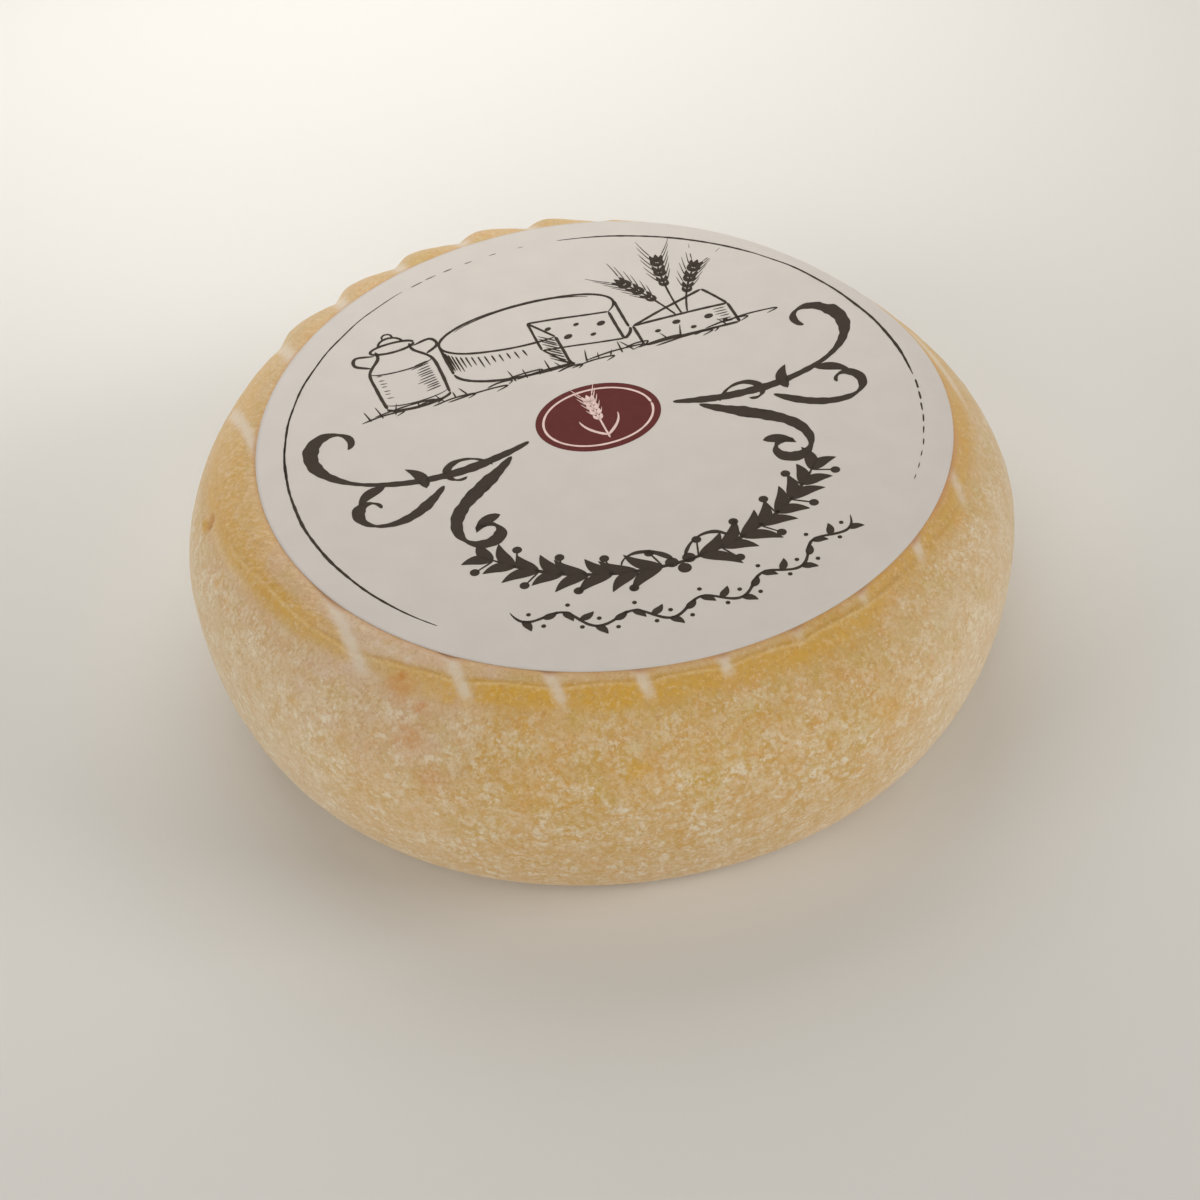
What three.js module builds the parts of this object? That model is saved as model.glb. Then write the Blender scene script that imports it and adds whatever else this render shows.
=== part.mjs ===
// Trappist cheese: one whole wheel of semi-hard cheese with a round paper label on its top face.
// Millimetres, +Z up. The wheel stands on z = 0 and the origin is in the middle of its footprint.
// Azimuths are degrees anticlockwise from +X, seen from above; the label's picture faces -Y.
import * as THREE from 'three';

// Wheel: size of the round form that the uneven one starts from
const WHEEL_RADIUS = 102; // at its widest
const RIM_LEVEL = 61.8; // height of the top face at its rim
const WIDEST_LEVEL = 37.9; // height at which the side bulges most
const TOP_FACE_RADIUS = 82.6; // where the top face begins to roll over into the shoulder
const FOOT_RADIUS = 88.2; // edge of the flat base
const EDGE_POWER = 1.4; // superellipse power where the top face turns down: a slanting shoulder
const BULGE_POWER = 1.8; // and where the shoulder runs into the side
const SIDE_POWER = 1.87; // below the widest level the side is close to round

// Wheel: how far the hand-made one departs from the round form
const OVAL = { size: 1.5, azimuth: 108.7 }; // two-lobed outline, longest towards this azimuth
const TRILOBE = { size: 1.1, azimuth: 97.5 }; // three-lobed outline, one lobe towards this azimuth
const FLAT = { depth: 1.3, azimuth: 42, width: 24 }; // side pressed a little flat at the back right
const CROWN = 1.2; // rise of the top face at its middle
const LEAN_X = -0.012; // slope of the top face, mm per mm: it is lowest at the front right
const LEAN_Y = 0.015;
const DENT = 0.35; // depth of the shallow dents all over the side

// Seam: the fine ridge that the lid of the mould left round the shoulder. It runs close to the
// label at the front and lower on the shoulder at the back.
const SEAM = { radius: 91.7, backward: 5.1, oval: 1.1, height: 0.45 };
const SEAM_FLANK = 1.4; // distance from the ridge to the foot of its flanks

// Marks of the drying rack's wires, straight and parallel across the top face and the shoulder
const WIRE_SPACING = 18.4;
const WIRE_AZIMUTH = -72.2; // direction in which the wires run
const FIRST_WIRE = -75; // distance from the wheel's axis to the leftmost wire
const LOBE_HEIGHT = 1.4; // swelling of the rind between two wires where the wheel hung heaviest
const LOBE_LEAST = 0.15; // and everywhere else
const LOBE_AZIMUTH = 116; // the heaviest side
const LOBE_FULL = 22; // the swelling is at its full height up to this angle from there
const LOBE_END = 37; // and has died down at this one
const LOBE_CREST = 0.3; // place of a lobe's top, as a share of the spacing
const LOBE_RISE = 5; // a lobe grows from nothing over this distance beyond the label
const LOBE_FADE = 7; // and fades away over this distance beyond the seam

// Pimple just below the seam at the left
const PIMPLE = { azimuth: 186.5, radius: 95.2, reach: 3, height: 1.6 };

// Label: a round sheet of paper that follows the top face and the start of the shoulder
const LABEL = { radius: 83.8, x: 3.5, y: 1, thickness: 0.3 };
const LABEL_GAP = 0.3; // clear space between the rind and the paper

// Mesh fineness
const WHEEL_SEGMENTS = 160;
const LABEL_SEGMENTS = 96;
const SIDE_STEPS = 8; // rings from the base up to the widest level
const SHOULDER_STEPS = 8; // rings from the seam's outer flank down to the widest level
const TOP_RINGS = [0.94, 0.9, 0.85, 0.79, 0.6, 0.3]; // shares of the seam's radius
const BASE_RINGS = [0.5]; // shares of the foot's radius
const LABEL_RINGS = [0.35, 0.7, 0.88, 0.94, 0.965, 0.985, 1]; // shares of the label's radius

const radians = THREE.MathUtils.degToRad;
const smooth = THREE.MathUtils.smoothstep;

// Angle from a direction given in degrees to an azimuth, the short way round
function turnFrom(direction, azimuth) {
  const turn = azimuth - radians(direction);
  return Math.atan2(Math.sin(turn), Math.cos(turn));
}

// The wheel's outline as a factor on its radius
function outline(azimuth) {
  const oval = OVAL.size * Math.cos(2 * (azimuth - radians(OVAL.azimuth)));
  const trilobe = TRILOBE.size * Math.cos(3 * (azimuth - radians(TRILOBE.azimuth)));
  const turn = turnFrom(FLAT.azimuth, azimuth) / radians(FLAT.width);
  const flat = FLAT.depth * Math.exp(-(turn ** 2));
  return 1 + (oval + trilobe - flat) / WHEEL_RADIUS;
}

// How far out of the middle of the footprint the wheel's axis is
function axisPlace() {
  const box = new THREE.Box2();
  for (let degree = 0; degree < 360; degree += 1) {
    const azimuth = radians(degree);
    const reach = WHEEL_RADIUS * outline(azimuth);
    box.expandByPoint(new THREE.Vector2(reach * Math.cos(azimuth), reach * Math.sin(azimuth)));
  }
  return box.getCenter(new THREE.Vector2()).negate();
}

// Distance from the axis to the seam
function seamRadius(azimuth) {
  const nominal = SEAM.radius + SEAM.backward * Math.sin(azimuth) + SEAM.oval * Math.cos(2 * azimuth);
  return nominal * outline(azimuth);
}

// Distance from the axis to the edge of the label, whose centre is set off from the axis
function labelReach(azimuth) {
  const along = LABEL.x * Math.cos(azimuth) + LABEL.y * Math.sin(azimuth);
  const across = LABEL.x * Math.sin(azimuth) - LABEL.y * Math.cos(azimuth);
  return along + Math.sqrt(LABEL.radius ** 2 - across ** 2);
}

// Share of the way from the edge of the top face (0) to the widest outline (1)
function shoulderShare(radius, azimuth) {
  const nominal = radius / outline(azimuth);
  return THREE.MathUtils.clamp((nominal - TOP_FACE_RADIUS) / (WHEEL_RADIUS - TOP_FACE_RADIUS), 0, 1);
}

// Share of the height of the shoulder that is left at that share of the way out
function shoulderRise(share) {
  return (1 - share ** EDGE_POWER) ** (1 / BULGE_POWER);
}

// Height of the smooth crown, without wire marks or seam, at a radius within the widest outline
function crownHeight(radius, azimuth) {
  const rise = shoulderRise(shoulderShare(radius, azimuth));
  const lean = radius * (LEAN_X * Math.cos(azimuth) + LEAN_Y * Math.sin(azimuth));
  const dome = CROWN * Math.max(0, 1 - (radius / (0.9 * WHEEL_RADIUS)) ** 2);
  return WIDEST_LEVEL + (RIM_LEVEL - WIDEST_LEVEL + lean) * rise + dome;
}

// Swelling between the wire marks: steep beside one wire, then falling slowly to the next
function wireLobe(x, y) {
  const across = x * Math.sin(radians(-WIRE_AZIMUTH)) + y * Math.cos(radians(-WIRE_AZIMUTH));
  const place = (across - FIRST_WIRE) / WIRE_SPACING;
  const phase = place - Math.floor(place);
  return smooth(phase, 0, LOBE_CREST) * (1 - smooth(phase, LOBE_CREST, 1));
}

// How much of the swelling shows at a place: most at the heavy side, none under the label
function lobeStrength(radius, azimuth) {
  const turn = Math.abs(turnFrom(LOBE_AZIMUTH, azimuth));
  const heavy = 1 - smooth(turn, radians(LOBE_FULL), radians(LOBE_END));
  const height = LOBE_LEAST + (LOBE_HEIGHT - LOBE_LEAST) * heavy;
  const label = labelReach(azimuth);
  const seam = seamRadius(azimuth);
  const rise = smooth(radius, label + 0.5, label + LOBE_RISE);
  return height * rise * (1 - smooth(radius, seam, seam + LOBE_FADE));
}

// Height of the pimple over the smooth rind
function pimple(radius, azimuth) {
  const middle = radians(PIMPLE.azimuth);
  const centre = PIMPLE.radius * outline(middle);
  const turn = turnFrom(PIMPLE.azimuth, azimuth);
  const drop = crownHeight(radius, azimuth) - crownHeight(centre, middle);
  const away = Math.hypot(radius - centre, centre * turn, drop);
  return PIMPLE.height * (1 - smooth(away, 0, PIMPLE.reach));
}

// A point of the rind above the widest level, raised square to the slope of the shoulder
function crownPoint(radius, azimuth, raise) {
  const share = shoulderShare(radius, azimuth);
  const rise = shoulderRise(share);
  const outward = (EDGE_POWER * share ** (EDGE_POWER - 1)) / (WHEEL_RADIUS - TOP_FACE_RADIUS);
  const upward = (BULGE_POWER * rise ** (BULGE_POWER - 1)) / (RIM_LEVEL - WIDEST_LEVEL);
  const normal = new THREE.Vector2(outward, upward).normalize();
  const x = radius * Math.cos(azimuth);
  const y = radius * Math.sin(azimuth);
  const lift = raise + wireLobe(x, y) * lobeStrength(radius, azimuth) + pimple(radius, azimuth);
  const reach = radius + lift * normal.x;
  const height = crownHeight(radius, azimuth) + lift * normal.y;
  return new THREE.Vector3(reach * Math.cos(azimuth), reach * Math.sin(azimuth), height);
}

// A point of the rind from the edge of the base (angle 0) up to the widest level (90 degrees)
function sidePoint(angle, azimuth) {
  const bulge = Math.sin(angle) ** (2 / SIDE_POWER);
  const height = WIDEST_LEVEL * (1 - Math.cos(angle) ** (2 / SIDE_POWER));
  const dent = DENT * Math.sin(angle) * Math.cos(angle) * Math.sin(5 * azimuth + 3 * angle);
  const nominal = FOOT_RADIUS + (WHEEL_RADIUS - FOOT_RADIUS) * bulge - dent;
  const reach = nominal * outline(azimuth);
  return new THREE.Vector3(reach * Math.cos(azimuth), reach * Math.sin(azimuth), height);
}

// The wheel's rings from the middle of the base to the middle of the top, each a function of azimuth
function wheelRings() {
  const flat = (share) => (azimuth) => {
    const reach = share * FOOT_RADIUS * outline(azimuth);
    return new THREE.Vector3(reach * Math.cos(azimuth), reach * Math.sin(azimuth), 0);
  };
  const side = (step) => (azimuth) => sidePoint((step / SIDE_STEPS) * (Math.PI / 2), azimuth);
  const shoulder = (step) => (azimuth) => {
    const flank = shoulderShare(seamRadius(azimuth) + SEAM_FLANK, azimuth);
    const start = Math.acos(flank ** (EDGE_POWER / 2));
    const share = Math.cos(start * (step / SHOULDER_STEPS)) ** (2 / EDGE_POWER);
    const nominal = TOP_FACE_RADIUS + (WHEEL_RADIUS - TOP_FACE_RADIUS) * share;
    return crownPoint(nominal * outline(azimuth), azimuth, 0);
  };
  const seam = (beyond, raise) => (azimuth) =>
    crownPoint(seamRadius(azimuth) + beyond, azimuth, raise);
  const top = (share) => (azimuth) => crownPoint(share * seamRadius(azimuth), azimuth, 0);
  const steps = (count) => Array.from({ length: count }, (_, index) => index + 1);
  return [
    flat(0),
    ...BASE_RINGS.map(flat),
    ...[0, ...steps(SIDE_STEPS)].map(side),
    ...steps(SHOULDER_STEPS).map(shoulder),
    seam(0, SEAM.height),
    seam(-SEAM_FLANK, 0),
    ...TOP_RINGS.map(top),
    top(0),
  ];
}

// A point of the label: a share of its radius, and how high it is over the smooth crown
function labelPoint(share, azimuth, over) {
  const x = LABEL.x + share * LABEL.radius * Math.cos(azimuth);
  const y = LABEL.y + share * LABEL.radius * Math.sin(azimuth);
  const height = crownHeight(Math.hypot(x, y), Math.atan2(y, x));
  return new THREE.Vector3(x, y, height + over);
}

// The label's rings: out over its underside, round the cut edge, and back over its printed face
function labelRings() {
  const ring = (over) => (share) => (azimuth) => labelPoint(share, azimuth, over);
  const outward = [0, ...LABEL_RINGS];
  const inward = [...outward].reverse();
  const under = outward.map(ring(LABEL_GAP));
  const face = inward.map(ring(LABEL_GAP + LABEL.thickness));
  return [...under, ...face];
}

// A closed solid through the rings. The first and the last ring are single points.
function ringSolid(rings, segments) {
  const profile = rings.map((_, index) => {
    const onAxis = index === 0 || index === rings.length - 1;
    return new THREE.Vector2(onAxis ? 0 : 1, index);
  });
  const geometry = new THREE.LatheGeometry(profile, segments);
  const position = geometry.getAttribute('position');
  for (let index = 0; index < position.count; index += 1) {
    const turn = Math.floor(index / rings.length) % segments;
    const azimuth = (turn / segments) * 2 * Math.PI;
    const point = rings[index % rings.length](azimuth);
    position.setXYZ(index, point.x, point.y, point.z);
  }
  geometry.computeVertexNormals();
  return geometry;
}

function cheeseWheel() {
  const rind = new THREE.MeshStandardMaterial({ color: '#c9a46c', roughness: 0.75, metalness: 0 });
  const mesh = new THREE.Mesh(ringSolid(wheelRings(), WHEEL_SEGMENTS), rind);
  mesh.name = 'cheese_wheel';
  return mesh;
}

function paperLabel() {
  const paper = new THREE.MeshStandardMaterial({ color: '#cbc2ba', roughness: 0.7, metalness: 0 });
  const mesh = new THREE.Mesh(ringSolid(labelRings(), LABEL_SEGMENTS), paper);
  mesh.name = 'paper_label';
  return mesh;
}

const cheese = new THREE.Group();
const axis = axisPlace();
cheese.add(cheeseWheel(), paperLabel());
cheese.children.forEach((mesh) => mesh.position.set(axis.x, axis.y, 0));

export default cheese;
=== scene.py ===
"""A whole wheel of trappist cheese with a round paper label, dressed over its solid model.

Lengths are millimetres and angles degrees, unless a name says otherwise; meshes are made in
metres. Azimuths run anticlockwise from +X, seen from above.
"""

import math

import bpy
import numpy as np
from mathutils import Matrix, Vector, noise


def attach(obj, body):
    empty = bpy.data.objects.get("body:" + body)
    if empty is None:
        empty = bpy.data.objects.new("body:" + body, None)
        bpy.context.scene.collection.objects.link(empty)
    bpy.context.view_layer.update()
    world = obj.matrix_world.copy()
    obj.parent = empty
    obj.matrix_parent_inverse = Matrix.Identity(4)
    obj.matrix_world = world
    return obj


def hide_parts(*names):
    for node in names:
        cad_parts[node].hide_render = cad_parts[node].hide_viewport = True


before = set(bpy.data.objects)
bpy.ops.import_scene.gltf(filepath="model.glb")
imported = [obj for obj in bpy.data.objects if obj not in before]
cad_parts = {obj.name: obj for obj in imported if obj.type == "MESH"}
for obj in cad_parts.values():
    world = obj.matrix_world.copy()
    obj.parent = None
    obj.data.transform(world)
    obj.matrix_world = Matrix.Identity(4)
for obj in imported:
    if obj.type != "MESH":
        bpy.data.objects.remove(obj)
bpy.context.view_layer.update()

# The wheel
# One cheese, pressed in a round mould and turned by hand on a wire rack while it dried. Its outline
# is a little oval, its side bulges, and the lid of the mould left a fine seam round the shoulder.

MM = 0.001
WHEEL_RADIUS = 102.0
RIM_LEVEL = 61.8
WIDEST_LEVEL = 37.9
TOP_FACE_RADIUS = 82.6
FOOT_RADIUS = 88.2
EDGE_POWER = 1.4
BULGE_POWER = 1.8
SIDE_POWER = 1.87
OVAL_SIZE, OVAL_AZIMUTH = 1.5, 108.7
TRILOBE_SIZE, TRILOBE_AZIMUTH = 1.1, 97.5
FLAT_DEPTH, FLAT_AZIMUTH, FLAT_WIDTH = 1.3, 42.0, 24.0
CROWN = 1.2
LEAN_X, LEAN_Y = -0.012, 0.015
SEAM_RADIUS, SEAM_BACKWARD, SEAM_OVAL = 91.7, 5.1, 1.1
LABEL_RADIUS, LABEL_X, LABEL_Y = 83.8, 3.5, 1.0


def smooth(value, low, high):
    share = np.clip((value - low) / (high - low), 0, 1)
    return share * share * (3 - 2 * share)


def bell(value, width):
    return np.exp(-((value / width) ** 2))


def turn_from(direction, azimuth):
    """Degrees from a direction to an azimuth given in radians, the short way round."""
    return (np.degrees(azimuth) - direction + 180) % 360 - 180


def outline(azimuth):
    """The wheel's outline, as a factor on its radius."""
    oval = OVAL_SIZE * np.cos(2 * (azimuth - math.radians(OVAL_AZIMUTH)))
    trilobe = TRILOBE_SIZE * np.cos(3 * (azimuth - math.radians(TRILOBE_AZIMUTH)))
    flat = FLAT_DEPTH * bell(turn_from(FLAT_AZIMUTH, azimuth), FLAT_WIDTH)
    return 1 + (oval + trilobe - flat) / WHEEL_RADIUS


def seam_radius(azimuth):
    nominal = SEAM_RADIUS + SEAM_BACKWARD * np.sin(azimuth) + SEAM_OVAL * np.cos(2 * azimuth)
    return nominal * outline(azimuth)


def label_reach(azimuth):
    """Distance from the wheel's axis to the edge of the label."""
    along = LABEL_X * np.cos(azimuth) + LABEL_Y * np.sin(azimuth)
    across = LABEL_X * np.sin(azimuth) - LABEL_Y * np.cos(azimuth)
    return along + np.sqrt(LABEL_RADIUS**2 - across**2)


def shoulder_share(radius, azimuth):
    """How far over the shoulder a place is, from the top face (0) to the widest outline (1)."""
    return np.clip((radius / outline(azimuth) - TOP_FACE_RADIUS) / (WHEEL_RADIUS - TOP_FACE_RADIUS), 0, 1)


def crown_height(radius, azimuth):
    rise = (1 - shoulder_share(radius, azimuth) ** EDGE_POWER) ** (1 / BULGE_POWER)
    lean = radius * (LEAN_X * np.cos(azimuth) + LEAN_Y * np.sin(azimuth))
    dome = CROWN * np.maximum(0, 1 - (radius / (0.9 * WHEEL_RADIUS)) ** 2)
    return WIDEST_LEVEL + (RIM_LEVEL - WIDEST_LEVEL + lean) * rise + dome


def axis_place():
    """Where the wheel's axis is, with the origin in the middle of the footprint."""
    azimuth = np.radians(np.arange(360))
    reach = WHEEL_RADIUS * outline(azimuth)
    x, y = reach * np.cos(azimuth), reach * np.sin(azimuth)
    return -(x.min() + x.max()) / 2, -(y.min() + y.max()) / 2


AXIS_X, AXIS_Y = axis_place()

# Relief of the rind
WIRE_SPACING, WIRE_AZIMUTH, FIRST_WIRE = 18.4, -72.2, -75.0
WIRE_WIDTH = 3.4
WIRE_DEPTH_HEAVY, WIRE_DEPTH_LEAST = 0.4, 0.3
LOBE_HEIGHT, LOBE_LEAST = 1.4, 0.15
LOBE_AZIMUTH, LOBE_FULL, LOBE_END = 116.0, 22.0, 37.0
LOBE_CREST, LOBE_RISE, LOBE_FADE = 0.3, 5.0, 7.0
PIMPLE_AZIMUTH, PIMPLE_RADIUS, PIMPLE_REACH, PIMPLE_HEIGHT = 186.5, 95.2, 2.8, 1.5
CREASE_PLACE, CREASE_WIDTH, CREASE_DEPTH = 2.7, 0.45, 0.55
UNDERSIDE_MARK = 0.3
WIRE_LEVEL, WIRE_FADE = 55.6, 3.4


def wires_passed(x, y):
    """Place across the rack in wire spacings: a whole number lies on a wire."""
    turn = math.radians(-WIRE_AZIMUTH)
    return (x * math.sin(turn) + y * math.cos(turn) - FIRST_WIRE) / WIRE_SPACING


def heavy_side(azimuth):
    """1 where the wheel pressed hardest on the rack, 0 on the other side."""
    return 1 - smooth(np.abs(turn_from(LOBE_AZIMUTH, azimuth)), LOBE_FULL, LOBE_END)


def wire_reach(height, azimuth):
    """1 where the rind touched the rack, fading to 0 below that level."""
    turn = turn_from(270, azimuth)
    lowest = WIRE_LEVEL - 4 * heavy_side(azimuth) + 1.1 * smooth(turn, 0, 35) - 4.2 * smooth(turn, 40, 85)
    lowest = lowest - 4.5 * bell(turn_from(166, azimuth), 12)
    return smooth(height, lowest, lowest + WIRE_FADE)


def wire_line(x, y):
    passed = wires_passed(x, y)
    line = bell((passed - np.round(passed)) * WIRE_SPACING, WIRE_WIDTH / 2)
    return np.where(passed > -0.5, line, 0)


def lobes(x, y, radius, azimuth):
    """Swelling of the rind between two wires, steep beside one and falling slowly to the next."""
    phase = wires_passed(x, y) % 1
    swelling = smooth(phase, 0, LOBE_CREST) * (1 - smooth(phase, LOBE_CREST, 1))
    height = LOBE_LEAST + (LOBE_HEIGHT - LOBE_LEAST) * heavy_side(azimuth)
    label, seam = label_reach(azimuth), seam_radius(azimuth)
    rise = smooth(radius, label + 0.5, label + LOBE_RISE)
    return swelling * height * rise * (1 - smooth(radius, seam, seam + LOBE_FADE))


def between(azimuth, first, last, soft=4.0):
    """1 between two directions in degrees, fading out over a few degrees past them."""
    middle, half = (first + last) / 2, (last - first) / 2
    return 1 - smooth(np.abs(turn_from(middle, azimuth)), half, half + soft)


def seam_shift(x, y, azimuth):
    """Distance of the seam's ridge outward of its round line: it arches between the wires."""
    arch = (2 * np.abs(wires_passed(x, y) % 1 - 0.5)) ** 2
    return 0.8 * arch * between(azimuth, 228, 300) - 1.4 * bell(turn_from(209, azimuth), 9)


def seam_ridge(past, azimuth):
    """1 on the crest of the fine ridge; past is the distance outward of it."""
    return bell(past, 0.32) * between(azimuth, 200, 312, 8)


def seam_groove(past, azimuth):
    depth = 0.4 + 0.6 * between(azimuth, 225, 312, 8)
    return depth * bell(past + 0.75, 0.4) * between(azimuth, 172, 330, 12)


def right_folds(beyond, azimuth):
    """Fine creases beside the label at the right, each over its own stretch of the shoulder."""
    creases = 0.0 * beyond
    for place, first, last in ((-1.0, 308, 322), (-1.5, 318, 334), (-2.9, 326, 346), (-0.6, 330, 352)):
        creases = creases + bell(beyond - place, 0.4) * between(azimuth, first, last, 3)
    return creases


def left_fold(beyond, azimuth):
    """1 on the raised fold that runs from the pimple along the start of the powder; it is painted paler, as a
    highlight, like the seam's ridge.
    """
    return bell(beyond - 1.7, 0.55) * between(azimuth, 188.5, 203)


def from_pimple(x, y, z):
    """How far a place is from the pimple's middle, and how far it lies towards the label and right."""
    middle = math.radians(PIMPLE_AZIMUTH)
    reach = PIMPLE_RADIUS * outline(middle)
    offset = (x - reach * math.cos(middle), y - reach * math.sin(middle), z - crown_height(reach, middle))
    away = np.sqrt(offset[0] ** 2 + offset[1] ** 2 + offset[2] ** 2)
    return away, 0.62 * offset[0] + 0.55 * offset[2] - 0.35 * offset[1]


def pimple(x, y, z):
    away, uphill = from_pimple(x, y, z)
    crease = bell(away - CREASE_PLACE, CREASE_WIDTH) * smooth(uphill, 0.6, 2.0)
    return PIMPLE_HEIGHT * (1 - smooth(away, 0, PIMPLE_REACH)) - CREASE_DEPTH * crease


def pimple_tint_and_crease_shade(x, y, z):
    """1 in the crease on the label's side of the pimple, weaker on the pimple itself: a darker orange, partly
    the rind's own colour, partly painted shade in the crease.
    """
    away, uphill = from_pimple(x, y, z)
    return bell(away - 2.4, 0.6) * smooth(uphill, 0.4, 1.8)


def stains(down, azimuth, marks):
    """Soft spots on the rind: each mark is its azimuth, its place down from the seam and its size."""
    shade = 0.0 * down
    for place, level, size in marks:
        across = np.radians(turn_from(place, azimuth)) * SEAM_RADIUS
        shade = np.maximum(shade, bell(np.hypot(across, down - level), size))
    return shade


def noise_at(points, size, shift=0.0):
    """Smooth noise from -1 to 1, with lumps of about the given size."""
    offset = Vector((shift, shift, shift))
    return np.array([noise.noise(Vector(point) / size + offset) for point in points])


# Rings of the wheel's mesh, from the middle of the base to the middle of the top
BASE_RINGS, SIDE_RINGS, SHOULDER_RINGS, TOP_RINGS, LABEL_RINGS = 15, 51, 32, 12, 8
SEAM_STRIP, SEAM_STEP, LABEL_OVERLAP = 3.0, 0.3, 1.0


def wheel_rings(azimuth):
    """The smooth wheel's rings of points, from the base to the top."""
    rings = []

    def add(radius, height):
        rings.append((radius * np.cos(azimuth), radius * np.sin(azimuth), height + 0 * azimuth))

    foot = FOOT_RADIUS * outline(azimuth)
    for share in np.linspace(0, 1, BASE_RINGS + 1)[:-1]:
        add(share * foot, 0 * azimuth)
    for angle in np.linspace(0, math.pi / 2, SIDE_RINGS + 1)[:-1]:
        bulge = math.sin(angle) ** (2 / SIDE_POWER)
        radius = (FOOT_RADIUS + (WHEEL_RADIUS - FOOT_RADIUS) * bulge) * outline(azimuth)
        add(radius, WIDEST_LEVEL * (1 - math.cos(angle) ** (2 / SIDE_POWER)))
    seam, label = seam_radius(azimuth), label_reach(azimuth)
    start = np.arccos(shoulder_share(seam + SEAM_STRIP, azimuth) ** (EDGE_POWER / 2))
    for step in np.linspace(0, 1, SHOULDER_RINGS + 1)[:-1]:
        share = np.cos(start * step) ** (2 / EDGE_POWER)
        radius = (TOP_FACE_RADIUS + (WHEEL_RADIUS - TOP_FACE_RADIUS) * share) * outline(azimuth)
        add(radius, crown_height(radius, azimuth))
    for beyond in np.arange(SEAM_STRIP, -SEAM_STRIP - SEAM_STEP / 3, -SEAM_STEP):
        add(seam + beyond, crown_height(seam + beyond, azimuth))
    for step in np.linspace(0, 1, TOP_RINGS + 1)[1:]:
        radius = (seam - SEAM_STRIP) * (1 - step) + (label - LABEL_OVERLAP) * step
        add(radius, crown_height(radius, azimuth))
    for share in np.linspace(1, 0, LABEL_RINGS + 1)[1:]:
        radius = share * (label - LABEL_OVERLAP)
        add(radius, crown_height(radius, azimuth))
    return np.array(rings)


def add_object(name, data):
    """Puts a mesh, a light or a camera into the scene under this name."""
    made = bpy.data.objects.new(name, data)
    bpy.context.scene.collection.objects.link(made)
    return made


def grid_mesh(name, rings, attributes=None):
    """A closed mesh through rings of points. The first and the last ring are single points."""
    count, turns = rings.shape[0], rings.shape[2]
    points = [rings[0, :, 0]]
    points.extend(rings[ring, :, turn] for ring in range(1, count - 1) for turn in range(turns))
    points.append(rings[-1, :, 0])
    points = np.array(points)
    last = len(points) - 1
    faces = [(0, 1 + (turn + 1) % turns, 1 + turn) for turn in range(turns)]
    for ring in range(count - 3):
        low = 1 + ring * turns
        for turn in range(turns):
            after = (turn + 1) % turns
            faces.append((low + turn, low + after, low + turns + after, low + turns + turn))
    top = last - turns
    faces.extend((top + turn, top + (turn + 1) % turns, last) for turn in range(turns))
    mesh = bpy.data.meshes.new(name)
    mesh.from_pydata(points * MM, [], faces)
    mesh.shade_smooth()
    for key, values in (attributes or {}).items():
        layer = mesh.attributes.new(key, "FLOAT", "POINT")
        flat = np.concatenate([values[0, :1], values[1:-1].ravel(), values[-1, :1]])
        layer.data.foreach_set("value", flat.astype(np.float32))
    return add_object(name, mesh)


def grid_normals(rings):
    along = np.gradient(rings, axis=0)
    around = np.roll(rings, -1, axis=2) - np.roll(rings, 1, axis=2)
    normal = np.cross(around, along, axis=1)
    length = np.linalg.norm(normal, axis=1, keepdims=True)
    return normal / np.maximum(length, 1e-9)


WHEEL_TURNS = 640


# Spots that show: azimuth in degrees, distance down from the seam and size
GOLDEN_SPOTS = (
    (193.0, -4.0, 2.0),
    (198.5, 7.5, 2.2),
    (203.0, 8.5, 1.4),
    (223.0, 17.0, 1.6),
    (246.0, 4.5, 2.4),
    (306.0, 25.0, 4.5),
    (272.0, 20.0, 3.5),
)
RUSSET_SPOTS = (
    (242.2, 8.0, 1.4),
    (238.2, 2.0, 1.3),
    (237.4, 3.8, 1.7),
)
RUSSET_CLOUDS = (
    (239.0, 5.0, 3.0),
    (241.5, 15.0, 3.4),
    (245.0, 24.0, 2.6),
)


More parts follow.
